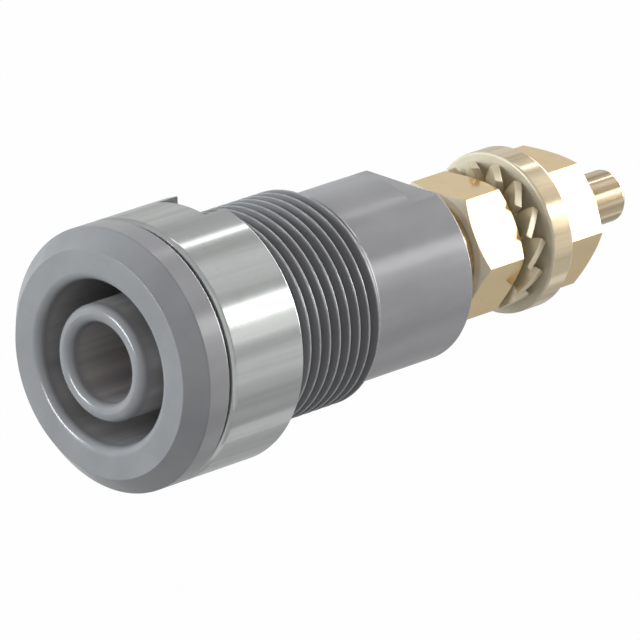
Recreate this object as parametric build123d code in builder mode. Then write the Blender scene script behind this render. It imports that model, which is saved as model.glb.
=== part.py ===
"""Panel-mounting 4 mm safety banana socket with a screw stud and its hardware.

Millimetres. The socket's axis is Y and its mouth faces -Y. The origin lies on the axis in the plane of
the flange's back face, which rests on the panel. The flat on the shank faces up, +Z.
"""
import os
from math import cos, radians, sin, tan

from build123d import *

# Insulating body: flange and mouth
flange_overhang = 1.25
flange_thickness = 2.5
flange_bevel = 1.0
flange_rear_round = 0.2
groove_diameter = 9.04
groove_depth = 19.3
lip_round = 0.52

# Insulating body: inner tube round the contact
tube_diameter = 6.44
tube_mouth_diameter = 4.42
contact_recess = 5.0

# Insulating body: thread and shank
thread_diameter = 12.0
thread_pitch = 0.75
thread_start = 0.6
thread_end = 13.2
shank_undercut = 0.62
shank_end = 20.5
flat_depth = 0.7
flat_length = 2.0

# Ring nut on the body thread
ring_nut_length = 5.5
ring_nut_front_round = 0.45
ring_nut_rear_bevel = 0.15
spanner_slot_width = 3.5
spanner_slot_depth = 1.5
ring_nut_turn = 4.0
thread_clearance = 0.05

# Contact: plug barrel, shoulder, stud and the plain pilot at its end
plug_bore_diameter = 4.0
plug_bore_depth = 15.6
plug_bore_bevel = 0.25
drill_point_angle = 118
tube_wall = 0.57
shoulder_step = 0.45
shoulder_overhang = 2.6
stud_diameter = 4.0
stud_length = 11.5
stud_bevel = 0.3
pilot_diameter = 2.96
pilot_length = 2.4
pilot_bevel = 0.2

# Hex nuts on the stud
nut_across_flats = 7.0
nut_height = 3.2
nut_chamfer_angle = 30
nut_bore_bevel = 0.25

# Washers on the stud
washer_hole_clearance = 0.15
tooth_count = 14
tooth_ring_diameter = 5.9
tooth_ring_thickness = 0.5
tooth_tip_diameter = 8.0
tooth_root_width = 0.95
tooth_tip_width = 1.8
tooth_thickness = 0.45
tooth_twist = 39
tooth_seat_gap = 0.01
clamp_washer_diameter = 9.1
clamp_washer_thickness = 1.6
clamp_washer_bevel = 0.15

# The barrel lines the tube, and the shoulder behind it stands out by a step
barrel_diameter = tube_diameter - 2 * tube_wall
shoulder_diameter = barrel_diameter + 2 * shoulder_step

# The flange stands out past the thread, the ring nut is flush with it and the shank lies under the thread
flange_diameter = thread_diameter + 2 * flange_overhang
ring_nut_diameter = flange_diameter
shank_diameter = thread_diameter - 2 * shank_undercut
flat_height = shank_diameter / 2 - flat_depth

# Places along the axis that follow from the sizes above
front = -flange_thickness
groove_floor = front + groove_depth
contact_front = front + contact_recess
shoulder_end = shank_end + shoulder_overhang
stud_end = shoulder_end + stud_length
pilot_end = stud_end + pilot_length
lock_nut_end = shoulder_end + nut_height
tooth_height = tooth_tip_width * sin(radians(tooth_twist)) + tooth_thickness * cos(radians(tooth_twist))
tooth_middle = lock_nut_end + tooth_seat_gap + tooth_height / 2
clamp_washer_front = tooth_middle + tooth_height / 2 + tooth_seat_gap
clamp_washer_end = clamp_washer_front + clamp_washer_thickness
terminal_nut_end = clamp_washer_end + nut_height
washer_hole_radius = stud_diameter / 2 + washer_hole_clearance


def across(place):
    """Sketch plane square to the axis at a place along it; extruding goes towards the mouth."""
    return Plane.XZ.offset(-place)


# Body thread: one ridge with sixty degree flanks and narrow crests, swept along a helix
thread_depth = 0.6134 * thread_pitch
core_radius = thread_diameter / 2 - thread_depth
crest_width = thread_pitch / 8
ridge_sink = 0.05
ridge_foot = crest_width + 2 * (thread_depth + ridge_sink) * tan(radians(30))
trim_rise = thread_depth + 0.3
helix_start = thread_start - thread_pitch
helix_length = thread_end + thread_pitch - helix_start
with BuildPart() as thread_ridge:
    with BuildLine() as helix:
        Helix(
            thread_pitch,
            helix_length,
            core_radius,
            center=(0, helix_start, 0),
            direction=(0, 1, 0),
        )
    helix_foot = helix.line @ 0
    radial = Vector(helix_foot.X, 0, helix_foot.Z)
    with BuildSketch(Plane(origin=helix_foot, x_dir=radial, z_dir=helix.line % 0)):
        with BuildLine():
            Polyline(
                (-ridge_sink, -ridge_foot / 2),
                (thread_depth, -crest_width / 2),
                (thread_depth, crest_width / 2),
                (-ridge_sink, ridge_foot / 2),
                close=True,
            )
        make_face()
    sweep(path=helix.line, is_frenet=True)
    # Both ends of the ridge are trimmed to cones
    with BuildSketch(Plane.XY):
        with BuildLine():
            Polyline(
                (core_radius - 3 * ridge_sink, thread_start),
                (core_radius, thread_start),
                (core_radius + trim_rise, thread_start + trim_rise),
                (core_radius + trim_rise, thread_end - trim_rise),
                (core_radius, thread_end),
                (core_radius - 3 * ridge_sink, thread_end),
                close=True,
            )
        make_face()
    revolve(axis=Axis.Y, mode=Mode.INTERSECT)

# Insulating body: its half-section goes round the axis
nose_radius = (tube_diameter - tube_mouth_diameter) / 4
nose_middle = (tube_diameter + tube_mouth_diameter) / 4
with BuildPart() as insulating_body:
    with BuildSketch(Plane.XY):
        with BuildLine():
            contact_seat = Polyline(
                (shoulder_diameter / 2, shank_end),
                (shoulder_diameter / 2, groove_floor),
                (barrel_diameter / 2, groove_floor),
                (barrel_diameter / 2, contact_front),
                (tube_mouth_diameter / 2, contact_front),
                (tube_mouth_diameter / 2, front + nose_radius),
            )
            nose = ThreePointArc(
                contact_seat @ 1,
                (nose_middle, front),
                (tube_diameter / 2, front + nose_radius),
            )
            groove = Polyline(
                nose @ 1,
                (tube_diameter / 2, groove_floor),
                (groove_diameter / 2, groove_floor),
                (groove_diameter / 2, front + lip_round),
            )
            lip = JernArc(groove @ 1, groove % 1, lip_round, -90)
            rim = Polyline(
                lip @ 1,
                (flange_diameter / 2 - flange_bevel, front),
                (flange_diameter / 2, front + flange_bevel),
                (flange_diameter / 2, -flange_rear_round),
            )
            rear_round = JernArc(rim @ 1, rim % 1, flange_rear_round, 90)
            Polyline(
                rear_round @ 1,
                (core_radius, 0),
                (core_radius, thread_end),
                (shank_diameter / 2, thread_end),
                (shank_diameter / 2, shank_end),
                contact_seat @ 0,
            )
        make_face()
    revolve(axis=Axis.Y)
    # The flat on top of the shank's rear end
    with BuildSketch(across(shank_end)):
        with Locations((0, flat_height)):
            Rectangle(shank_diameter, shank_diameter, align=(Align.CENTER, Align.MIN))
    extrude(amount=flat_length, mode=Mode.SUBTRACT)
    add(thread_ridge.part)

# Ring nut with two spanner slots across its rear face
ring_nut_bore = thread_diameter / 2 + thread_clearance
with BuildPart() as ring_nut:
    with BuildSketch(across(ring_nut_length)):
        Circle(ring_nut_diameter / 2)
        Circle(ring_nut_bore, mode=Mode.SUBTRACT)
    extrude(amount=ring_nut_length)
    rims = ring_nut.edges().filter_by(GeomType.CIRCLE).group_by(SortBy.RADIUS)[-1].sort_by(Axis.Y)
    fillet(rims[0], radius=ring_nut_front_round)
    chamfer(rims[-1], length=ring_nut_rear_bevel)
    with BuildSketch(across(ring_nut_length)):
        Rectangle(spanner_slot_width, 2 * ring_nut_diameter, rotation=ring_nut_turn)
    extrude(amount=spanner_slot_depth, mode=Mode.SUBTRACT)

# Contact: turned in one piece, from the plug barrel to the pilot
plug_bore_end = contact_front + plug_bore_depth
drill_point = plug_bore_diameter / 2 / tan(radians(drill_point_angle / 2))
with BuildPart() as contact:
    with BuildSketch(Plane.XY):
        with BuildLine():
            Polyline(
                (0, plug_bore_end + drill_point),
                (plug_bore_diameter / 2, plug_bore_end),
                (plug_bore_diameter / 2, contact_front + plug_bore_bevel),
                (plug_bore_diameter / 2 + plug_bore_bevel, contact_front),
                (barrel_diameter / 2, contact_front),
                (barrel_diameter / 2, groove_floor),
                (shoulder_diameter / 2, groove_floor),
                (shoulder_diameter / 2, shoulder_end),
                (stud_diameter / 2, shoulder_end),
                (stud_diameter / 2, stud_end - stud_bevel),
                (stud_diameter / 2 - stud_bevel, stud_end),
                (pilot_diameter / 2, stud_end),
                (pilot_diameter / 2, pilot_end - pilot_bevel),
                (pilot_diameter / 2 - pilot_bevel, pilot_end),
                (0, pilot_end),
                close=True,
            )
        make_face()
    revolve(axis=Axis.Y)


def hex_nut(place):
    """Hex nut for the stud, chamfered at both ends.

    place is where its rear face lies along the axis.
    """
    past_corners = 0.6 * nut_across_flats
    chamfer_rise = (past_corners - nut_across_flats / 2) * tan(radians(nut_chamfer_angle))
    with BuildPart() as nut:
        with BuildSketch(across(place)):
            RegularPolygon(nut_across_flats / 2, 6, major_radius=False)
            Circle(stud_diameter / 2 + thread_clearance, mode=Mode.SUBTRACT)
        extrude(amount=nut_height)
        bore_edges = nut.edges().filter_by(GeomType.CIRCLE)
        chamfer(bore_edges, length=nut_bore_bevel)
        with BuildSketch(Plane.XY):
            with BuildLine():
                Polyline(
                    (0, place),
                    (nut_across_flats / 2, place),
                    (past_corners, place - chamfer_rise),
                    (past_corners, place - nut_height + chamfer_rise),
                    (nut_across_flats / 2, place - nut_height),
                    (0, place - nut_height),
                    close=True,
                )
            make_face()
        revolve(axis=Axis.Y, mode=Mode.INTERSECT)
    return nut


lock_nut = hex_nut(lock_nut_end)
terminal_nut = hex_nut(terminal_nut_end)

# Tooth lock washer: a flat ring whose outer teeth are twisted out of its plane
tooth_foot = (tooth_ring_diameter / 2 + washer_hole_radius) / 2
tooth_plane = Plane(origin=(0, tooth_middle, 0), x_dir=(0, 0, 1), z_dir=(1, 0, 0))
with BuildPart() as tooth:
    with BuildSketch(tooth_plane.offset(tooth_foot)):
        Rectangle(tooth_root_width, tooth_thickness)
    with BuildSketch(tooth_plane.offset(tooth_tip_diameter / 2)):
        Rectangle(tooth_tip_width, tooth_thickness, rotation=-tooth_twist)
    loft(ruled=True)
with BuildPart() as tooth_lock_washer:
    with BuildSketch(across(tooth_middle + tooth_ring_thickness / 2)):
        Circle(tooth_ring_diameter / 2)
        Circle(washer_hole_radius, mode=Mode.SUBTRACT)
    extrude(amount=tooth_ring_thickness)
    tooth_turns = [number * 360 / tooth_count for number in range(tooth_count)]
    add([tooth.part.rotate(Axis.Y, turn) for turn in tooth_turns])

# Thick plain washer under the terminal nut
with BuildPart() as clamp_washer:
    with BuildSketch(across(clamp_washer_end)):
        Circle(clamp_washer_diameter / 2)
        Circle(washer_hole_radius, mode=Mode.SUBTRACT)
    extrude(amount=clamp_washer_thickness)
    outer_rims = clamp_washer.edges().filter_by(GeomType.CIRCLE).group_by(SortBy.RADIUS)[-1]
    chamfer(outer_rims, length=clamp_washer_bevel)

pieces = {
    "insulating_body": insulating_body,
    "contact": contact,
    "ring_nut": ring_nut,
    "lock_nut": lock_nut,
    "tooth_lock_washer": tooth_lock_washer,
    "clamp_washer": clamp_washer,
    "terminal_nut": terminal_nut,
}
os.makedirs("parts", exist_ok=True)
for name, piece in pieces.items():
    piece.part.label = name
    export_step(piece.part, f"parts/{name}.step")
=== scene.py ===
"""Looks of a panel-mounting safety banana socket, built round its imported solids.

The sizes of the pieces are in millimetres and every mesh is scaled to metres as it is placed. The socket's
axis is Y, its mouth faces -Y and the flat on its shank faces +Z. The panel would touch the flange at Y = 0.
"""

import logging
from collections.abc import Iterable, Mapping, Sequence
from dataclasses import dataclass, field
from enum import Enum
from math import cos, hypot, pi, radians, sin, tan
from typing import Any, NamedTuple

import bmesh
import bpy
from mathutils import Matrix, Quaternion, Vector

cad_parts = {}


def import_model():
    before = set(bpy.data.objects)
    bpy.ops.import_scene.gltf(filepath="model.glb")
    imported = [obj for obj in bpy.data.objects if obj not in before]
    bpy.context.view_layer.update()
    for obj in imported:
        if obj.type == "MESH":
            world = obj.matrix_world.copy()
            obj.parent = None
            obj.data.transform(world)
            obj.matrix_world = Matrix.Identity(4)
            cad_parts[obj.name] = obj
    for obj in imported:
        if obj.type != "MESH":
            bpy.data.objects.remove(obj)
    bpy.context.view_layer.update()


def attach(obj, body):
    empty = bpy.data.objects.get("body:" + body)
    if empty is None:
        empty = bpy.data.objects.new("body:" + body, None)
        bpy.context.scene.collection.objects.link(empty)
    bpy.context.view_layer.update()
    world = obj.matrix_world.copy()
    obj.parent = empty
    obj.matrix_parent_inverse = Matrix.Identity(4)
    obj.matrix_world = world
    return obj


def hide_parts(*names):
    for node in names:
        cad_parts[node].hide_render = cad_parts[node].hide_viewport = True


log = logging.getLogger("socket")

METRES_PER_MM = 0.001
ROUND_STEPS = 192
SMOOTH_BELOW = radians(28)
AXIS = (0.0, 1.0, 0.0)
CENTRE = (0.0, 0.0, 0.0)
WHITE = (1.0, 1.0, 1.0, 1.0)
SEEN_PAINT = (0.9, 0.9, 0.9)
Colour = tuple[float, float, float]
Triple = tuple[float, float, float]


class Slot(Enum):
    """The record's material slots."""

    PLASTIC = "grey_plastic"
    CONTACT = "contact_metal"
    NICKEL = "nickel_plate"
    NUT = "nut_metal"
    WASHER = "washer_metal"


class Working(Enum):
    """How a metal surface was made, which decides the lie of its fine marks."""

    TURNED = "turned"
    MILLED = "milled"
    STAMPED = "stamped"


class Reach(Enum):
    """What a lamp does to the surfaces that face it."""

    LIT_AND_MIRRORED = "lit and mirrored"
    ONLY_LIT = "only lit"
    ONLY_MIRRORED = "only mirrored"


class Corner(NamedTuple):
    """A corner of a half-section.

    rounding is how far from the corner its round starts, along each side.
    """

    radius: float
    place: float
    rounding: float = 0.0


# Meshes


def spun(section: Sequence[Corner], round_segments: int = 4, steps: int = ROUND_STEPS) -> bmesh.types.BMesh:
    """Rounds the corners of a half-section and spins it once round the axis.

    Args:
        section: Corners in order; the last joins the first, unless both lie on the axis.
        round_segments: Faces in each rounded corner.
        steps: Faces round the axis.

    Returns:
        A closed mesh in millimetres.
    """
    bm = bmesh.new()
    verts = [bm.verts.new((corner.radius, corner.place, 0)) for corner in section]
    for first, second in zip(verts, verts[1:]):
        bm.edges.new((first, second))
    if section[0].radius > 0:
        bm.edges.new((verts[-1], verts[0]))
    for vert, corner in zip(verts, section):
        if corner.rounding:
            bmesh.ops.bevel(
                bm,
                geom=[vert],
                offset=corner.rounding,
                offset_type="OFFSET",
                affect="VERTICES",
                segments=round_segments,
                profile=0.5,
                material=-1,
            )
    bmesh.ops.spin(
        bm,
        geom=[*bm.verts, *bm.edges],
        cent=CENTRE,
        axis=AXIS,
        angle=2 * pi,
        steps=steps,
        use_merge=True,
    )
    bmesh.ops.remove_doubles(bm, verts=bm.verts, dist=1e-5)
    bmesh.ops.recalc_face_normals(bm, faces=bm.faces)
    return bm


def cut_flat(bm: bmesh.types.BMesh, direction: Vector, distance: float) -> list[bmesh.types.BMFace]:
    """Cuts away what lies past a plane and closes the cut.

    Args:
        bm: The mesh to cut.
        direction: The plane's outward normal.
        distance: How far the plane lies from the origin along it.

    Returns:
        The faces that close the cut.
    """
    cut = bmesh.ops.bisect_plane(
        bm,
        geom=[*bm.verts, *bm.edges, *bm.faces],
        dist=1e-6,
        plane_co=direction * distance,
        plane_no=direction,
        clear_outer=True,
    )
    rim = [item for item in cut["geom_cut"] if isinstance(item, bmesh.types.BMEdge)]
    closing = bmesh.ops.holes_fill(bm, edges=rim, sides=0)["faces"]
    bmesh.ops.recalc_face_normals(bm, faces=bm.faces)
    return closing


def join(parts: Iterable[bmesh.types.BMesh]) -> bmesh.types.BMesh:
    """Gathers several meshes in one, and frees them.

    Args:
        parts: The meshes.

    Returns:
        The mesh of them all.
    """
    whole = bmesh.new()
    for part in parts:
        carrier = bpy.data.meshes.new("carrier")
        part.to_mesh(carrier)
        whole.from_mesh(carrier)
        bpy.data.meshes.remove(carrier)
        part.free()
    return whole


def evened(data: bpy.types.Mesh) -> bpy.types.Mesh:
    """Keeps the large faces' own shading up to their edges, so that only the rounds shade as rounds.

    It is done before a mesh is scaled to metres, because it leaves out faces as small as they are then.

    Args:
        data: The mesh, which is used up.

    Returns:
        The mesh with its shading.
    """
    data.set_sharp_from_angle(angle=SMOOTH_BELOW)
    carrier = bpy.data.objects.new("carrier", data)
    bpy.context.scene.collection.objects.link(carrier)
    weighted = carrier.modifiers.new("weighted", "WEIGHTED_NORMAL")
    weighted.keep_sharp = True
    depsgraph = bpy.context.evaluated_depsgraph_get()
    even = bpy.data.meshes.new_from_object(carrier.evaluated_get(depsgraph), depsgraph=depsgraph)
    bpy.data.objects.remove(carrier)
    bpy.data.meshes.remove(data)
    return even


@dataclass
class Thread:
    """An outside thread: one ridge that winds round the axis.

    The ridge's ends run out in cones, as on a thread that was cut or moulded in the round. depth_share and
    crest_share say how deep the ridge is and how wide its crest is, as shares of the pitch.
    """

    crest_radius: float
    pitch: float
    start: float
    end: float
    steps_a_turn: int = 96
    sink: float = 0.03
    crest_rounding: float = 0.025
    flank_angle: float = 30.0
    depth_share: float = 0.6134
    crest_share: float = 0.125

    @property
    def depth(self) -> float:
        """Height of the ridge over the core."""
        return self.depth_share * self.pitch

    @property
    def core_radius(self) -> float:
        """Radius at the foot of the ridge."""
        return self.crest_radius - self.depth

    def ridge(self) -> bmesh.types.BMesh:
        """Winds the ridge's section round the axis, right-handed, and runs out its ends.

        Returns:
            The ridge, open at its foot, which lies inside the core.
        """
        half_crest = self.crest_share * self.pitch / 2
        half_foot = half_crest + (self.depth + self.sink) * tan(radians(self.flank_angle))
        foot_radius = self.core_radius - self.sink
        first = self.start - self.pitch
        turns = (self.end - first) / self.pitch + 1
        steps = round(turns * self.steps_a_turn)
        bm = bmesh.new()
        section = [
            bm.verts.new((foot_radius, first - half_foot, 0)),
            bm.verts.new((self.crest_radius, first - half_crest, 0)),
            bm.verts.new((self.crest_radius, first + half_crest, 0)),
            bm.verts.new((foot_radius, first + half_foot, 0)),
        ]
        for one, other in zip(section, section[1:]):
            bm.edges.new((one, other))
        bmesh.ops.bevel(
            bm,
            geom=section[1:3],
            offset=self.crest_rounding,
            offset_type="OFFSET",
            affect="VERTICES",
            segments=2,
            profile=0.5,
            material=-1,
        )
        bmesh.ops.spin(
            bm,
            geom=[*bm.verts, *bm.edges],
            cent=CENTRE,
            axis=AXIS,
            dvec=Vector(AXIS) * (self.pitch / self.steps_a_turn),
            angle=2 * pi * steps / self.steps_a_turn,
            steps=steps,
        )
        self._run_out(bm)
        bmesh.ops.recalc_face_normals(bm, faces=bm.faces)
        return bm

    def _run_out(self, bm: bmesh.types.BMesh) -> None:
        """Lowers both ends of the ridge to cones and drops what lies past them.

        Args:
            bm: The ridge.
        """
        spare = 0.1
        for vert in bm.verts:
            radius = hypot(vert.co.x, vert.co.z)
            room = min(vert.co.y - self.start, self.end - vert.co.y)
            allowed = max(self.core_radius + room, self.core_radius - self.sink)
            if radius > allowed:
                vert.co.x *= allowed / radius
                vert.co.z *= allowed / radius
        past = [vert for vert in bm.verts if not self.start - spare < vert.co.y < self.end + spare]
        bmesh.ops.delete(bm, geom=past, context="VERTS")


# Shader nodes


class Number:
    """A number that varies over a surface, so that shader maths reads as expressions."""

    def __init__(self, graph: "Graph", socket: bpy.types.NodeSocket) -> None:
        """Wraps an output socket of a graph's node."""
        self.graph = graph
        self.socket = socket

    def _maths(self, operation: str, first: "Number | float", second: "Number | float") -> "Number":
        """Adds one Math node.

        Args:
            operation: The node's operation.
            first: Its first input.
            second: Its second input.

        Returns:
            The node's result.
        """
        node = self.graph.node("ShaderNodeMath", {"operation": operation}, {0: first, 1: second})
        return Number(self.graph, node.outputs[0])

    def __add__(self, other: "Number | float") -> "Number":
        """Sum."""
        return self._maths("ADD", self, other)

    __radd__ = __add__

    def __sub__(self, other: "Number | float") -> "Number":
        """Difference."""
        return self._maths("SUBTRACT", self, other)

    def __rsub__(self, other: float) -> "Number":
        """Difference from a plain number."""
        return self._maths("SUBTRACT", other, self)

    def __mul__(self, other: "Number | float") -> "Number":
        """Product."""
        return self._maths("MULTIPLY", self, other)

    __rmul__ = __mul__

    def between(self, low: float, high: float) -> "Number":
        """How far the number is on its way from one value to another.

        Args:
            low: Where the result is 0.
            high: Where it is 1.

        Returns:
            The share of the way, with soft ends.
        """
        settings = {"interpolation_type": "SMOOTHSTEP", "clamp": True}
        inputs = {"Value": self, "From Min": low, "From Max": high, "To Min": 0.0, "To Max": 1.0}
        node = self.graph.node("ShaderNodeMapRange", settings, inputs)
        return Number(self.graph, node.outputs["Result"])

    def within(self, low: float, high: float, rise: float, fall: float) -> "Number":
        """Whether the number lies in a range.

        Args:
            low: Where the range starts.
            high: Where it ends.
            rise: How far past its start the result reaches 1.
            fall: How far before its end the result leaves 1.

        Returns:
            1 inside the range and 0 outside it, with soft ends.
        """
        return self.between(low, low + rise) * (1 - self.between(high - fall, high))


class Graph:
    """The node tree of a material or of the world."""

    def __init__(self, owner: bpy.types.Material | bpy.types.World) -> None:
        """Starts with an empty node tree.

        Args:
            owner: What the nodes belong to.
        """
        self.owner = owner
        self.owner.use_nodes = True
        self.tree = self.owner.node_tree
        self.tree.nodes.clear()

    def node(
        self,
        kind: str,
        settings: Mapping[str, Any] | None = None,
        inputs: Mapping[str | int, Any] | None = None,
    ) -> bpy.types.Node:
        """Adds a node.

        Args:
            kind: The node's type.
            settings: Its properties, which are set first.
            inputs: Values, sockets or Numbers for its inputs, by name or place.

        Returns:
            The new node.
        """
        node = self.tree.nodes.new(kind)
        for name, value in (settings or {}).items():
            setattr(node, name, value)
        for key, value in (inputs or {}).items():
            if isinstance(value, Number):
                value = value.socket
            if isinstance(value, bpy.types.NodeSocket):
                self.tree.links.new(value, node.inputs[key])
            else:
                node.inputs[key].default_value = value
        return node

    def place(self) -> bpy.types.NodeSocket:
        """The surface point in the object's frame, in millimetres."""
        coordinates = self.node("ShaderNodeTexCoord")
        inputs = {0: coordinates.outputs["Object"], "Scale": 1 / METRES_PER_MM}
        return self.node("ShaderNodeVectorMath", {"operation": "SCALE"}, inputs).outputs[0]

    def across_and_along(self) -> tuple[bpy.types.NodeSocket, Number]:
        """The surface point's offset from the socket's axis and its place along it, in millimetres.

        Returns:
            The offset's vector and the place.
        """
        split = self.node("ShaderNodeSeparateXYZ", inputs={0: self.place()})
        flat = {"X": split.outputs["X"], "Z": split.outputs["Z"]}
        across = self.node("ShaderNodeCombineXYZ", inputs=flat)
        return across.outputs[0], Number(self, split.outputs["Y"])

    def round_place(self) -> tuple[Number, Number]:
        """The surface point's distance from the socket's axis and its place along it, in millimetres.

        Returns:
            The distance and the place.
        """
        across, along = self.across_and_along()
        length = self.node("ShaderNodeVectorMath", {"operation": "LENGTH"}, {0: across})
        return Number(self, length.outputs["Value"]), along

    def end_faces(self) -> Number:
        """How much the surface faces along the socket's axis rather than away from it.

        Returns:
            1 on the end faces and 0 on the round sides.
        """
        coordinates = self.node("ShaderNodeTexCoord")
        split = self.node("ShaderNodeSeparateXYZ", inputs={0: coordinates.outputs["Normal"]})
        along = Number(self, split.outputs["Y"])
        return (along * along).between(0.1, 0.5)

    def cloud(
        self,
        scale: float,
        detail: float = 2.0,
        stretch: Triple = (1.0, 1.0, 1.0),
        seed: Triple = (0.0, 0.0, 0.0),
    ) -> Number:
        """Soft noise over the surface.

        Args:
            scale: Blotches a millimetre.
            detail: Octaves of finer noise.
            stretch: Scale along each axis.
            seed: Shift of the pattern.

        Returns:
            The noise, about 0.5.
        """
        mapped = self.node(
            "ShaderNodeMapping", inputs={"Vector": self.place(), "Location": seed, "Scale": stretch}
        )
        inputs = {"Vector": mapped.outputs[0], "Scale": scale, "Detail": detail, "Roughness": 0.55}
        return Number(self, self.node("ShaderNodeTexNoise", inputs=inputs).outputs[0])

    def streaks(self, count: float, drift: float = 0.02) -> Number:
        """Soft streaks that run along the socket's axis, side by side round it.

        Args:
            count: Streaks in about a sixth of a turn.
            drift: How fast they change along the axis, in changes a millimetre.

        Returns:
            The streaks' level, about 0.5.
        """
        across, along = self.across_and_along()
        way = self.node("ShaderNodeVectorMath", {"operation": "NORMALIZE"}, {0: across})
        lift = self.node("ShaderNodeCombineXYZ", inputs={"Y": along * (drift / count)})
        terms = {0: way.outputs[0], 1: lift.outputs[0]}
        spot = self.node("ShaderNodeVectorMath", {"operation": "ADD"}, terms)
        inputs = {"Vector": spot.outputs[0], "Scale": count, "Detail": 3.0, "Roughness": 0.6}
        return Number(self, self.node("ShaderNodeTexNoise", inputs=inputs).outputs[0])

    def lines(self, along: Number, scale: float, detail: float = 3.0) -> Number:
        """Fine uneven lines across one direction.

        Args:
            along: The place in that direction, in millimetres.
            scale: Lines a millimetre.
            detail: Octaves of finer lines.

        Returns:
            The lines' level, about 0.5.
        """
        inputs = {"W": along, "Scale": scale, "Detail": detail, "Roughness": 0.6}
        settings = {"noise_dimensions": "1D"}
        return Number(self, self.node("ShaderNodeTexNoise", settings, inputs).outputs[0])

    def mixed(self, share: Number, none: Colour | bpy.types.NodeSocket, full: Colour) -> bpy.types.NodeSocket:
        """Mixes two colours.

        Args:
            share: How much of the second colour shows.
            none: The first colour.
            full: The second colour.

        Returns:
            The mixed colour's socket.
        """
        start = none if isinstance(none, bpy.types.NodeSocket) else (*none, 1.0)
        inputs = {"Factor": share, 6: start, 7: (*full, 1.0)}
        return self.node("ShaderNodeMix", {"data_type": "RGBA"}, inputs).outputs[2]

    def bump(self, height: Number, depth: float) -> bpy.types.NodeSocket:
        """Turns a height into a normal.

        Args:
            height: The relief, 0 to 1.
            depth: Its full depth in millimetres.

        Returns:
            The normal's socket.
        """
        inputs = {"Height": height, "Strength": 1.0, "Distance": depth * METRES_PER_MM}
        return self.node("ShaderNodeBump", inputs=inputs).outputs[0]

    def ray_kinds(self) -> tuple[Number, Number]:
        """What kind of ray reaches the surface.

        Returns:
            1 for the camera's own rays, and 1 for rays that something mirrors or lets through.
        """
        rays = self.node("ShaderNodeLightPath")
        seen = Number(self, rays.outputs["Is Camera Ray"])
        through = Number(self, rays.outputs["Is Transmission Ray"])
        return seen, through + Number(self, rays.outputs["Is Glossy Ray"])

    def principled(self, inputs: Mapping[str, Any]) -> bpy.types.Material:
        """Closes the tree with a Principled shader.

        Args:
            inputs: The shader's inputs.

        Returns:
            The finished material.
        """
        shader = self.node("ShaderNodeBsdfPrincipled", inputs=inputs)
        self.node("ShaderNodeOutputMaterial", inputs={"Surface": shader.outputs[0]})
        return self.owner


# Finishes


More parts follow.
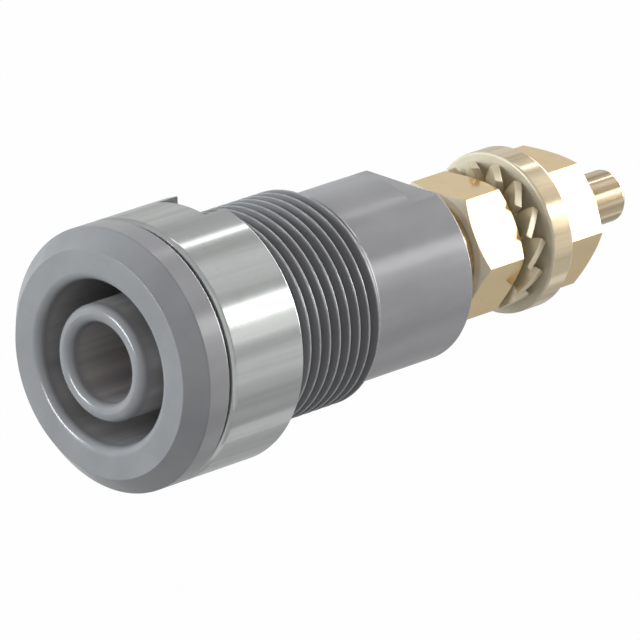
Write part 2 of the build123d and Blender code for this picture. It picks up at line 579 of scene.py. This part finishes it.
@dataclass(frozen=True)
class MouldedPlastic:
    """Satin moulded plastic with grain, flow clouds, and painted light and shade on its thread and in its
    mouth.

    The thread's flanks and roots carry painted shade and its crests a patchy painted highlight. The walls
    inside the mouth are painted lighter and warmer as painted light, with faint painted streak reflections
    along them.
    Lengths and places are in millimetres; a_mm and a_sixth tell how many of something a millimetre or a sixth
    of a turn holds.
    """

    name: str = "moulded_grey_plastic"
    dark: Colour = (0.240, 0.238, 0.248)
    light: Colour = (0.278, 0.276, 0.286)
    # Painted highlight for the thread's crests.
    crest_highlight: Colour = (0.40, 0.40, 0.41)
    # Painted light for the walls inside the mouth, and the colour of the painted streak reflections on them.
    inner: Colour = (0.33, 0.315, 0.318)
    streak_reflection: Colour = (0.47, 0.445, 0.445)
    # Painted shade for the thread's flanks and roots.
    flank_shade: Colour = (0.125, 0.125, 0.132)
    crest_radius: float = 6.0
    thread_start: float = 0.5
    thread_end: float = 13.3
    groove_radius: float = 4.52
    mouth: float = -2.2
    inside_end: float = 18.5
    face: float = -2.4
    flow_a_mm: float = 0.35
    grain_a_mm: float = 16.0
    rings_a_mm: float = 5.0
    crest_glint_patches_a_mm: float = 2.2
    streaks_a_sixth: float = 2.2
    # How strongly the painted shade on the thread's flanks and the painted highlight on its crests show.
    flank_shading: float = 0.85
    crest_highlighting: float = 0.85
    roughness: float = 0.21
    relief_depth: float = 0.005

    def material(self) -> bpy.types.Material:
        """Makes the material.

        Returns:
            The material.
        """
        graph = Graph(bpy.data.materials.new(self.name))
        radius, along = graph.round_place()
        flow = graph.cloud(self.flow_a_mm, 3.0, (1.0, 0.4, 1.0))
        grain = graph.cloud(self.grain_a_mm, 2.0, seed=(3.0, 0.0, 7.0))
        # Streaks of painted reflection along the mouth's walls; they also vary the walls' roughness.
        reflected_streaks = graph.streaks(self.streaks_a_sixth)
        rings = graph.lines(radius, self.rings_a_mm, 1.0)
        rings = rings * (1 - along.between(self.face - 0.09, self.face))
        inside = along.within(self.mouth, self.inside_end, 0.8, 1.0)
        inside = inside * (1 - radius.between(self.groove_radius, self.groove_radius + 0.1))
        thread = along.within(self.thread_start, self.thread_end, 0.3, 0.3)
        thread = thread * radius.between(self.groove_radius + 0.3, self.groove_radius + 0.5)
        # The thread's flanks and roots, which get painted shade.
        root = thread * (1 - radius.between(self.crest_radius - 0.07, self.crest_radius - 0.02))
        crest = thread * radius.between(self.crest_radius - 0.05, self.crest_radius - 0.02)
        # Painted highlight: the thread's crests are painted lighter in patches, as thin bright lines along
        # them.
        crest_glint = crest * graph.cloud(self.crest_glint_patches_a_mm, 3.0, seed=(9.0, 2.0, 0.0)).between(0.2, 0.75)
        colour = graph.mixed(flow.between(0.3, 0.7), self.dark, self.light)
        # Painted light: inside the mouth the walls are painted lighter and warmer, and faint streaks of
        # reflected light are painted along them.
        colour = graph.mixed(inside, colour, self.inner)
        colour = graph.mixed(inside * reflected_streaks.between(0.36, 0.7), colour, self.streak_reflection)
        # Painted shade: the thread's flanks and roots are painted darker, where shade falls between its
        # turns.
        colour = graph.mixed(root * self.flank_shading, colour, self.flank_shade)
        # Painted highlight along the thread's crests; it also lowers their roughness.
        colour = graph.mixed(crest_glint * self.crest_highlighting, colour, self.crest_highlight)
        roughness = self.roughness + (flow - 0.5) * 0.12 + (grain - 0.5) * 0.08 - crest_glint * 0.08
        roughness = roughness + inside * (reflected_streaks - 0.5) * 0.2 + root * 0.4
        relief = grain * 0.5 + flow * 0.3 + rings * 0.35
        return graph.principled(
            {
                "Base Color": colour,
                "Roughness": roughness,
                "Normal": graph.bump(relief, self.relief_depth),
                "IOR": 1.5,
                "Specular IOR Level": 0.9,
            }
        )


@dataclass(frozen=True)
class PlatedMetal:
    """Plated metal with the fine marks of how it was worked, and thin patches in the plating.

    A band colour paints soft darker bands side by side round the piece's sides, as painted reflections of
    long lamps. a_mm and a_sixth tell how many of something a millimetre or a sixth of a turn holds.
    """

    name: str
    colour: Colour
    worn_colour: Colour
    working: Working
    roughness: float
    # Painted reflection bands: their colour, strength and count round the piece.
    reflection_band_colour: Colour | None = None
    reflection_banding: float = 0.8
    reflection_bands_a_sixth: float = 5.0
    patches_a_mm: float = 0.9
    patch_wear: float = 0.6
    mark_wear: float = 0.25
    marks_a_mm: float = 9.0
    mark_depth: float = 0.0003
    metallic: float = 1.0

    def _marks(self, graph: Graph) -> Number:
        """The level of the working marks over the surface.

        Args:
            graph: The material's nodes.

        Returns:
            The marks' level, about 0.5.
        """
        radius, along = graph.round_place()
        if self.working is Working.TURNED:
            return graph.lines(along + radius, self.marks_a_mm)
        if self.working is Working.MILLED:
            wander = graph.cloud(0.8, 1.0, seed=(1.0, 5.0, 2.0)) * 0.5
            return graph.lines(along + wander, self.marks_a_mm)
        return graph.cloud(self.marks_a_mm, 3.0)

    def material(self) -> bpy.types.Material:
        """Makes the material.

        Returns:
            The material.
        """
        graph = Graph(bpy.data.materials.new(self.name))
        marks = self._marks(graph)
        patches = graph.cloud(self.patches_a_mm, 4.0, seed=(4.0, 1.0, 8.0))
        worn = patches.between(0.45, 0.8) * self.patch_wear + marks.between(0.55, 0.9) * self.mark_wear
        # Painted reflection: soft darker bands round the sides, where long lamps would be mirrored.
        reflection_bands = graph.streaks(self.reflection_bands_a_sixth).between(0.34, 0.66) * (1 - graph.end_faces())
        colour = graph.mixed(worn, self.colour, self.worn_colour)
        if self.reflection_band_colour:
            colour = graph.mixed(reflection_bands * self.reflection_banding, colour, self.reflection_band_colour)
        roughness = self.roughness + (marks - 0.5) * 0.06 + (patches - 0.5) * 0.08 + reflection_bands * 0.05
        return graph.principled(
            {
                "Base Color": colour,
                "Metallic": self.metallic,
                "Roughness": roughness,
                "Normal": graph.bump(marks, self.mark_depth),
            }
        )


# Pieces


@dataclass
class Piece:
    """What every piece of the socket shares: where it belongs, and how its mesh is placed and dressed."""

    name: str
    node: str
    body: str
    slot: Slot
    finish: MouldedPlastic | PlatedMetal
    end_finish: PlatedMetal | None = None
    end_slope: float = 0.35

    def mesh(self) -> bmesh.types.BMesh:
        """Builds the piece's mesh in millimetres."""
        raise NotImplementedError

    def build(self) -> bpy.types.Object:
        """Places the mesh in the scene, dresses it and lets it stand for its solid.

        Returns:
            The piece.
        """
        bm = self.mesh()
        for face in bm.faces:
            face.smooth = True
            face.material_index = int(self.end_finish is not None and abs(face.normal.y) > self.end_slope)
        data = bpy.data.meshes.new("fresh")
        bm.to_mesh(data)
        bm.free()
        data = evened(data)
        data.transform(Matrix.Scale(METRES_PER_MM, 4))
        data.name = self.name
        piece = bpy.data.objects.new(self.name, data)
        bpy.context.scene.collection.objects.link(piece)
        data.materials.append(self.finish.material())
        if self.end_finish:
            data.materials.append(self.end_finish.material())
        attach(piece, self.body)
        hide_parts(self.node)
        log.info("%s: %d faces, rides on %s", self.name, len(data.polygons), self.body)
        return piece


@dataclass
class InsulatingBody(Piece):
    """The moulded body: flange, deep groove round an inner tube, outside thread and shank."""

    front: float = -2.5
    flange_radius: float = 7.25
    flange_bevel: float = 1.0
    flange_rear_round: float = 0.12
    groove_radius: float = 4.52
    groove_floor: float = 16.8
    lip_round: float = 0.52
    tube_radius: float = 3.22
    mouth_radius: float = 2.21
    nose_round: float = 0.5
    barrel_radius: float = 2.65
    barrel_front: float = 2.5
    shoulder_radius: float = 3.1
    floor_round: float = 0.15
    shank_radius: float = 5.38
    flat_start: float = 18.5
    flat_height: float = 4.68
    shank_end: float = 20.5
    edge_round: float = 0.07
    face_edge_round: float = 0.02
    thread: Thread = field(default_factory=lambda: Thread(6.0, 0.75, 0.6, 13.2))

    def _shell(self) -> bmesh.types.BMesh:
        """Spins the form up to where the flat begins.

        Returns:
            The shell.
        """
        edge = self.edge_round
        core = self.thread.core_radius
        return spun(
            [
                Corner(self.shoulder_radius, self.flat_start),
                Corner(self.shoulder_radius, self.groove_floor),
                Corner(self.barrel_radius, self.groove_floor),
                Corner(self.barrel_radius, self.barrel_front),
                Corner(self.mouth_radius, self.barrel_front),
                Corner(self.mouth_radius, self.front, self.nose_round),
                Corner(self.tube_radius, self.front, self.nose_round),
                Corner(self.tube_radius, self.groove_floor, self.floor_round),
                Corner(self.groove_radius, self.groove_floor, self.floor_round),
                Corner(self.groove_radius, self.front, self.lip_round),
                Corner(self.flange_radius - self.flange_bevel, self.front, self.face_edge_round),
                Corner(self.flange_radius, self.front + self.flange_bevel, edge),
                Corner(self.flange_radius, 0, self.flange_rear_round),
                Corner(core, 0),
                Corner(core, self.thread.end, edge),
                Corner(self.shank_radius, self.thread.end + edge),
                Corner(self.shank_radius, self.flat_start),
            ],
            round_segments=6,
        )

    def _rear(self) -> bmesh.types.BMesh:
        """Spins the shank's last stretch and cuts the flat on top.

        Returns:
            The stretch.
        """
        bm = spun(
            [
                Corner(self.shoulder_radius, self.flat_start),
                Corner(self.shank_radius, self.flat_start),
                Corner(self.shank_radius, self.shank_end, self.edge_round),
                Corner(self.shoulder_radius, self.shank_end),
            ]
        )
        cut_flat(bm, Vector((0, 0, 1)), self.flat_height)
        return bm

    def mesh(self) -> bmesh.types.BMesh:
        """The shell, the thread's ridge and the shank's rear stretch."""
        return join([self._shell(), self.thread.ridge(), self._rear()])


@dataclass
class Contact(Piece):
    """The turned contact: plug barrel, shoulder, threaded stud and plain pilot."""

    bore_radius: float = 2.0
    bore_end: float = 18.1
    drill_rise: float = 1.2
    mouth_bevel: float = 0.25
    barrel_radius: float = 2.65
    barrel_front: float = 2.5
    barrel_end: float = 16.8
    shoulder_radius: float = 3.1
    shoulder_end: float = 23.1
    stud_end: float = 34.6
    pilot_radius: float = 1.48
    pilot_end: float = 37.0
    pilot_round: float = 0.2
    edge_round: float = 0.12
    thread: Thread = field(default_factory=lambda: Thread(2.0, 0.7, 23.1, 34.6, 64, crest_rounding=0.02))

    def mesh(self) -> bmesh.types.BMesh:
        """Spins the turned form and winds the stud's thread.

        Returns:
            The mesh.
        """
        core = self.thread.core_radius
        turned = spun(
            [
                Corner(0, self.bore_end + self.drill_rise),
                Corner(self.bore_radius, self.bore_end),
                Corner(self.bore_radius, self.barrel_front + self.mouth_bevel),
                Corner(self.bore_radius + self.mouth_bevel, self.barrel_front),
                Corner(self.barrel_radius, self.barrel_front),
                Corner(self.barrel_radius, self.barrel_end),
                Corner(self.shoulder_radius, self.barrel_end),
                Corner(self.shoulder_radius, self.shoulder_end, self.edge_round),
                Corner(core, self.shoulder_end),
                Corner(core, self.stud_end),
                Corner(self.pilot_radius, self.stud_end),
                Corner(self.pilot_radius, self.pilot_end, self.pilot_round),
                Corner(0, self.pilot_end),
            ]
        )
        return join([turned, self.thread.ridge()])


@dataclass
class RingNut(Piece):
    """The ring nut that clamps the panel, with two spanner slots across its rear face."""

    bore_radius: float = 6.05
    outer_radius: float = 7.25
    length: float = 5.5
    land_radius: float = 6.8
    land_height: float = 0.28
    front_round: float = 0.3
    edge_bevel: float = 0.05
    slot_width: float = 3.5
    slot_depth: float = 1.5
    slot_turn: float = 4.0

    def _ring(self) -> bmesh.types.BMesh:
        """Spins the unbroken part of the ring, in front of the slots.

        Returns:
            The ring.
        """
        slot_floor = self.length - self.slot_depth
        return spun(
            [
                Corner(self.bore_radius, 0, self.edge_bevel),
                Corner(self.land_radius, 0),
                Corner(self.land_radius, self.land_height),
                Corner(self.outer_radius, self.land_height, self.front_round),
                Corner(self.outer_radius, slot_floor),
                Corner(self.bore_radius, slot_floor),
            ],
            round_segments=6,
        )

    def _lug(self, side: int) -> bmesh.types.BMesh:
        """The part of the rear ring on one side of the slots.

        Args:
            side: 1 or -1.

        Returns:
            The half ring, with rounded slot walls.
        """
        slot_floor = self.length - self.slot_depth
        bm = spun(
            [
                Corner(self.bore_radius, slot_floor),
                Corner(self.outer_radius, slot_floor),
                Corner(self.outer_radius, self.length, self.edge_bevel),
                Corner(self.bore_radius, self.length, self.edge_bevel),
            ]
        )
        turn = radians(self.slot_turn)
        wall = Vector((-side * cos(turn), 0, -side * sin(turn)))
        cut_flat(bm, wall, -self.slot_width / 2)
        return bm

    def mesh(self) -> bmesh.types.BMesh:
        """The ring and its two lugs."""
        return join([self._ring(), self._lug(1), self._lug(-1)])


@dataclass
class HexNut(Piece):
    """A hex nut: a turned and chamfered blank with six milled flats.

    blank_share is the blank's width as a share of the width across the flats.
    """

    rear: float = 0.0
    flats: int = 6
    across_flats: float = 7.0
    height: float = 3.2
    chamfer_angle: float = 30.0
    bore_radius: float = 2.05
    bore_bevel: float = 0.25
    face_round: float = 0.05
    corner_round: float = 0.035
    blank_share: float = 1.2

    def mesh(self) -> bmesh.types.BMesh:
        """Spins the blank, cuts its flats and eases its corners.

        Returns:
            The mesh.
        """
        half = self.across_flats / 2
        past = self.blank_share * half
        rise = (past - half) * tan(radians(self.chamfer_angle))
        low = self.rear - self.height
        bm = spun(
            [
                Corner(self.bore_radius, low + self.bore_bevel),
                Corner(self.bore_radius + self.bore_bevel, low),
                Corner(half, low, self.face_round),
                Corner(past, low + rise),
                Corner(past, self.rear - rise),
                Corner(half, self.rear, self.face_round),
                Corner(self.bore_radius + self.bore_bevel, self.rear),
                Corner(self.bore_radius, self.rear - self.bore_bevel),
            ]
        )
        for number in range(self.flats):
            angle = radians(360 * (number + 0.5) / self.flats)
            cut_flat(bm, Vector((cos(angle), 0, sin(angle))), half)
        corner_radius = half / cos(radians(180 / self.flats))
        corners = [
            edge
            for edge in bm.edges
            if all(hypot(vert.co.x, vert.co.z) > corner_radius - 1e-3 for vert in edge.verts)
        ]
        bmesh.ops.bevel(
            bm,
            geom=corners,
            offset=self.corner_round,
            offset_type="OFFSET",
            affect="EDGES",
            segments=3,
            profile=0.5,
            material=-1,
        )
        return bm


@dataclass
class ToothWasher(Piece):
    """The lock washer: a flat ring whose outer teeth are twisted out of its plane."""

    middle: float = 27.05
    bore_radius: float = 2.15
    ring_radius: float = 2.95
    ring_thickness: float = 0.5
    teeth: int = 14
    foot_radius: float = 2.55
    tip_radius: float = 4.05
    root_width: float = 0.95
    tip_width: float = 1.8
    thickness: float = 0.45
    twist: float = 39.0
    edge_round: float = 0.05

    def _ring(self) -> bmesh.types.BMesh:
        """Spins the flat ring.

        Returns:
            The ring.
        """
        half = self.ring_thickness / 2
        return spun(
            [
                Corner(self.bore_radius, self.middle - half, self.edge_round),
                Corner(self.ring_radius, self.middle - half, self.edge_round),
                Corner(self.ring_radius, self.middle + half, self.edge_round),
                Corner(self.bore_radius, self.middle + half, self.edge_round),
            ]
        )

    def _tooth(self, number: int) -> bmesh.types.BMesh:
        """One tooth: a plate that widens and twists on its way out, with its tip on the washer's outline.

        Args:
            number: Its place in the ring, from +X towards +Z.

        Returns:
            The tooth.
        """
        bm = bmesh.new()
        bmesh.ops.create_cube(bm, size=1)
        bmesh.ops.subdivide_edges(bm, edges=bm.edges, cuts=5, use_grid_fill=True)
        for vert in bm.verts:
            out = vert.co.x + 0.5
            width = self.root_width + (self.tip_width - self.root_width) * out
            side = vert.co.z * width
            lift = vert.co.y * self.thickness
            turn = radians(self.twist) * out
            vert.co.y = lift * cos(turn) + side * sin(turn)
            vert.co.z = side * cos(turn) - lift * sin(turn)
            reach = (self.tip_radius**2 - vert.co.z**2) ** 0.5
            vert.co.x = self.foot_radius + (reach - self.foot_radius) * out
        sharp = [edge for edge in bm.edges if edge.calc_face_angle(0) > radians(60)]
        bmesh.ops.bevel(
            bm,
            geom=sharp,
            offset=self.edge_round,
            offset_type="OFFSET",
            affect="EDGES",
            segments=2,
            profile=0.5,
            material=-1,
        )
        bmesh.ops.translate(bm, vec=(0, self.middle, 0), verts=bm.verts)
        turned = Matrix.Rotation(-radians(360 * number / self.teeth), 3, "Y")
        bmesh.ops.rotate(bm, cent=CENTRE, matrix=turned, verts=bm.verts)
        return bm

    def mesh(self) -> bmesh.types.BMesh:
        """The ring and all its teeth."""
        return join([self._ring(), *(self._tooth(number) for number in range(self.teeth))])


@dataclass
class ClampWasher(Piece):
    """The thick plain washer under the terminal nut."""

    front: float = 27.8
    thickness: float = 1.6
    bore_radius: float = 2.15
    outer_radius: float = 4.55
    edge_bevel: float = 0.15
    bore_bevel: float = 0.08

    def mesh(self) -> bmesh.types.BMesh:
        """Spins the ring, with eased edges.

        Returns:
            The mesh.
        """
        rear = self.front + self.thickness
        return spun(
            [
                Corner(self.bore_radius, self.front, self.bore_bevel),
                Corner(self.outer_radius, self.front, self.edge_bevel),
                Corner(self.outer_radius, rear, self.edge_bevel),
                Corner(self.bore_radius, rear, self.bore_bevel),
            ]
        )


# The studio


def facing(angle: float, lean: float, distance: float, aim: Vector) -> Matrix:
    """Where something that faces the socket stands, as seen round the socket's axis.

    Args:
        angle: Degrees round the axis, from +X towards +Z.
        lean: Degrees back along the axis, towards the stud.
        distance: How far away it stands, in metres.
        aim: The point it faces, in metres.

    Returns:
        Its place and turn; its front is its -Z side.
    """
    tilt = radians(lean)
    turn = radians(angle)
    towards = Vector((cos(tilt) * cos(turn), sin(tilt), cos(tilt) * sin(turn)))
    side = Vector(AXIS).cross(towards).normalized()
    turned = Matrix((side, towards.cross(side), towards)).transposed().to_4x4()
    return Matrix.Translation(aim + towards * distance) @ turned


@dataclass(frozen=True)
class Lamp:
    """A soft lamp that faces the socket, as seen round the socket's axis.

    Angles are in degrees: round the axis from +X towards +Z, and back along the axis towards the stud.
    """

    name: str
    angle: float
    lean: float
    distance: float
    width: float
    length: float
    brightness: float
    colour: Colour = (1.0, 1.0, 1.0)
    reach: Reach = Reach.LIT_AND_MIRRORED

    def put(self, aim: Vector) -> bpy.types.Object:
        """Places the lamp.

        Args:
            aim: The point it faces, in metres.

        Returns:
            The lamp.
        """
        light = bpy.data.lights.new(self.name, "AREA")
        light.shape = "RECTANGLE"
        light.size = self.width
        light.size_y = self.length
        light.energy = self.brightness * pi * self.width * self.length
        light.color = self.colour
        lamp = bpy.data.objects.new(self.name, light)
        lamp.matrix_world = facing(self.angle, self.lean, self.distance, aim)
        lamp.visible_camera = False
        lamp.visible_diffuse = self.reach is not Reach.ONLY_MIRRORED
        lamp.visible_glossy = self.reach is not Reach.ONLY_LIT
        bpy.context.scene.collection.objects.link(lamp)
        return lamp


def stage_paint(name: str, grey: float, seen_share: float, mirrored_share: float) -> bpy.types.Material:
    """Matt grey paint for the stage that shows white to the camera and in mirrored views.

    Args:
        name: The material's name.
        grey: How light the paint is.
        seen_share: How much of the white the camera sees.
        mirrored_share: How much of it metal mirrors.

    Returns:
        The material.
    """
    graph = Graph(bpy.data.materials.new(name))
    seen, mirrored = graph.ray_kinds()
    paint = graph.mixed(seen, (grey,) * 3, SEEN_PAINT)
    matt = graph.node("ShaderNodeBsdfDiffuse", inputs={"Color": paint})
    white = graph.node("ShaderNodeEmission", inputs={"Color": WHITE, "Strength": 1.0})
    share = seen * seen_share + mirrored * mirrored_share
    surface = graph.node("ShaderNodeMixShader", inputs={0: share, 1: matt.outputs[0], 2: white.outputs[0]})
    graph.node("ShaderNodeOutputMaterial", inputs={"Surface": surface.outputs[0]})
    return graph.owner


def laid(name: str, low: Sequence[float], high: Sequence[float], height: float) -> bpy.types.Object:
    """Lays a level rectangle.

    Args:
        name: Its name.
        low: Its lowest x and y, in metres.
        high: Its highest x and y.
        height: How high it lies.

    Returns:
        The rectangle, without paint.
    """
    bm = bmesh.new()
    bmesh.ops.create_grid(bm, x_segments=1, y_segments=1, size=0.5)
    bmesh.ops.scale(bm, vec=(high[0] - low[0], high[1] - low[1], 1), verts=bm.verts)
    middle = ((low[0] + high[0]) / 2, (low[1] + high[1]) / 2, height)
    bmesh.ops.translate(bm, vec=middle, verts=bm.verts)
    data = bpy.data.meshes.new(name)
    bm.to_mesh(data)
    bm.free()
    sheet = bpy.data.objects.new(name, data)
    bpy.context.scene.collection.objects.link(sheet)
    return sheet


@dataclass(frozen=True)
class Card:
    """A grey card just over the floor, which only darkens what the socket mirrors and takes from below.

    Its sides and its height are places in metres.
    """

    name: str
    low_x: float
    high_x: float
    low_y: float = -0.1
    high_y: float = 0.25
    height: float = -0.046
    grey: float = 0.22
    mirrored_share: float = 0.33

    def put(self) -> bpy.types.Object:
        """Lays the card.

        Returns:
            The card.
        """
        card = laid(self.name, (self.low_x, self.low_y), (self.high_x, self.high_y), self.height)
        card.data.materials.append(stage_paint(f"{self.name}_grey", self.grey, 0.0, self.mirrored_share))
        card.visible_camera = False
        card.visible_shadow = False
        return card


@dataclass
class Studio:
    """A plain pale floor well under the socket, soft lamps round it and the photograph's camera."""

    aim: Vector = field(default_factory=lambda: Vector((-0.000818, 0.015153, -0.002118)))
    azimuth: float = 43.592
    elevation: float = 20.071
    roll: float = 1.19
    distance: float = 0.538491
    lens: float = 562.5
    lamp_aim: Vector = field(default_factory=lambda: Vector((0, 0.015, 0)))
    floor_height: float = -0.047
    floor_size: float = 4.0
    floor_grey: float = 0.4
    floor_seen_share: float = 0.975
    floor_mirrored_share: float = 0.5
    room_light: float = 0.42
    room_mirrored: float = 0.6
    lamps: Sequence[Lamp] = (
        Lamp("face_fill", 188, -45, 0.6, 0.9, 0.9, 4.9, (0.9, 1.0, 1.03), Reach.ONLY_LIT),
        Lamp("camera_fill", 20, -43, 0.9, 1.0, 1.0, 0.12),
        Lamp("mouth_line", 135.6, -70.3, 0.6, 0.1, 0.34, 15.0, reach=Reach.ONLY_MIRRORED),
        Lamp("right_shoulder", 16, 43, 0.6, 0.16, 0.6, 0.5),
        Lamp("right_strip", 31, 43, 0.6, 0.12, 0.6, 2.6),
        Lamp("upper_band", 68, 43, 0.6, 0.26, 0.6, 0.25),
        Lamp("top_strip", 104, 43, 0.6, 0.03, 0.6, 3.0),
        Lamp("left_band", 152, 43, 0.6, 0.26, 0.6, 0.14),
        Lamp("rear_right_fill", 0, 72, 0.6, 0.4, 0.4, 10.5),
        Lamp("rear_top_fill", 100, 72, 0.6, 0.4, 0.4, 4.2),
    )
    cards: Sequence[Card] = (
        Card("near_card", 0.0235, 0.062),
        Card("far_card", -0.05, 0.0095),
        Card("left_card", -0.4, -0.05, high_y=0.45, grey=0.3, mirrored_share=0.4),
    )

    def camera(self) -> bpy.types.Object:
        """Puts the camera where the photograph was taken from.

        Returns:
            The camera.
        """
        azimuth = radians(self.azimuth)
        elevation = radians(self.elevation)
        back = Vector((sin(azimuth) * cos(elevation), -cos(azimuth) * cos(elevation), sin(elevation)))
        data = bpy.data.cameras.new("camera")
        data.lens = self.lens
        data.sensor_width = 36
        data.clip_start = 0.01
        data.clip_end = 20
        camera = bpy.data.objects.new("camera", data)
        level = (-back).to_track_quat("-Z", "Y")
        rolled = level @ Quaternion((0, 0, 1), radians(self.roll))
        place = Matrix.Translation(self.aim + back * self.distance)
        camera.matrix_world = place @ rolled.to_matrix().to_4x4()
        bpy.context.scene.collection.objects.link(camera)
        bpy.context.scene.camera = camera
        return camera

    def floor(self) -> bpy.types.Object:
        """Lays the floor: white where it is seen or mirrored, and a lit pale surface that takes the shadow.

        Returns:
            The floor.
        """
        half = self.floor_size / 2
        floor = laid("floor", (-half, -half), (half, half), self.floor_height)
        floor.data.materials.append(
            stage_paint("floor_white", self.floor_grey, self.floor_seen_share, self.floor_mirrored_share)
        )
        return floor

    def world(self) -> None:
        """Fills the room with even soft light; the camera sees white, and metal mirrors a pale room."""
        world = bpy.data.worlds.new("room")
        bpy.context.scene.world = world
        graph = Graph(world)
        seen, mirrored = graph.ray_kinds()
        room = mirrored * (self.room_mirrored - self.room_light) + self.room_light
        strength = room * (1 - seen) + seen
        background = graph.node("ShaderNodeBackground", inputs={"Color": WHITE, "Strength": strength})
        graph.node("ShaderNodeOutputWorld", inputs={"Surface": background.outputs[0]})

    def build(self) -> None:
        """Sets up the camera, floor, cards, room light and lamps."""
        self.camera()
        self.floor()
        for card in self.cards:
            card.put()
        self.world()
        for lamp in self.lamps:
            lamp.put(self.lamp_aim)
        bpy.context.scene.view_settings.view_transform = "Standard"
        log.info("studio: %d lamps, floor at %.3f m", len(self.lamps), self.floor_height)


# The socket

# The band colour given to NICKEL, CONTACT_GOLD and WASHER_GOLD paints their reflection bands.
NICKEL = PlatedMetal(
    "nickel_plated", (0.56, 0.58, 0.57), (0.50, 0.515, 0.50), Working.TURNED, 0.13, (0.42, 0.435, 0.42)
)
CONTACT_GOLD = PlatedMetal(
    "contact_turned_gold",
    (0.76, 0.62, 0.43),
    (0.68, 0.55, 0.37),
    Working.TURNED,
    0.13,
    (0.42, 0.33, 0.21),
    reflection_banding=0.9,
)
WASHER_GOLD = PlatedMetal(
    "washer_turned_gold", (0.86, 0.73, 0.52), (0.80, 0.66, 0.45), Working.TURNED, 0.15, (0.62, 0.50, 0.33)
)
NUT_GOLD = PlatedMetal("nut_milled_gold", (0.84, 0.645, 0.36), (0.78, 0.59, 0.32), Working.MILLED, 0.16)
STAMPED_GOLD = PlatedMetal(
    "stamped_gold", (0.72, 0.64, 0.47), (0.63, 0.55, 0.40), Working.STAMPED, 0.34, metallic=0.6
)
END_GOLD = PlatedMetal(
    "faced_gold", (0.72, 0.645, 0.50), (0.65, 0.58, 0.44), Working.TURNED, 0.42, metallic=0.3
)
LOCK_NUT_REAR = 26.3
TERMINAL_NUT_REAR = 32.6


def socket_pieces() -> list[Piece]:
    """The socket's pieces, from the mouth to the stud.

    Returns:
        The pieces in order, not yet built.
    """
    return [
        InsulatingBody("body_shell", "insulating_body", "socket", Slot.PLASTIC, MouldedPlastic()),
        Contact("contact_turned", "contact", "socket", Slot.CONTACT, CONTACT_GOLD),
        RingNut("ring_nut_plated", "ring_nut", "ring_nut", Slot.NICKEL, NICKEL),
        HexNut("lock_nut_hex", "lock_nut", "socket", Slot.NUT, NUT_GOLD, END_GOLD, rear=LOCK_NUT_REAR),
        ToothWasher("tooth_washer", "tooth_lock_washer", "socket", Slot.WASHER, STAMPED_GOLD),
        ClampWasher("washer_thick", "clamp_washer", "clamp_washer", Slot.WASHER, WASHER_GOLD, END_GOLD),
        HexNut(
            "terminal_nut_hex",
            "terminal_nut",
            "terminal_nut",
            Slot.NUT,
            NUT_GOLD,
            END_GOLD,
            rear=TERMINAL_NUT_REAR,
        ),
    ]


def corners(box: Any) -> list[list[float]]:
    """A box's two corners as plain lists."""
    return [list(map(float, corner)) for corner in box]


def main() -> None:
    """Builds the studio and the socket."""
    logging.basicConfig(level=logging.INFO, format="%(name)s: %(message)s")
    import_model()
    Studio().build()
    for piece in socket_pieces():
        piece.build()


if __name__ == "__main__":
    main()
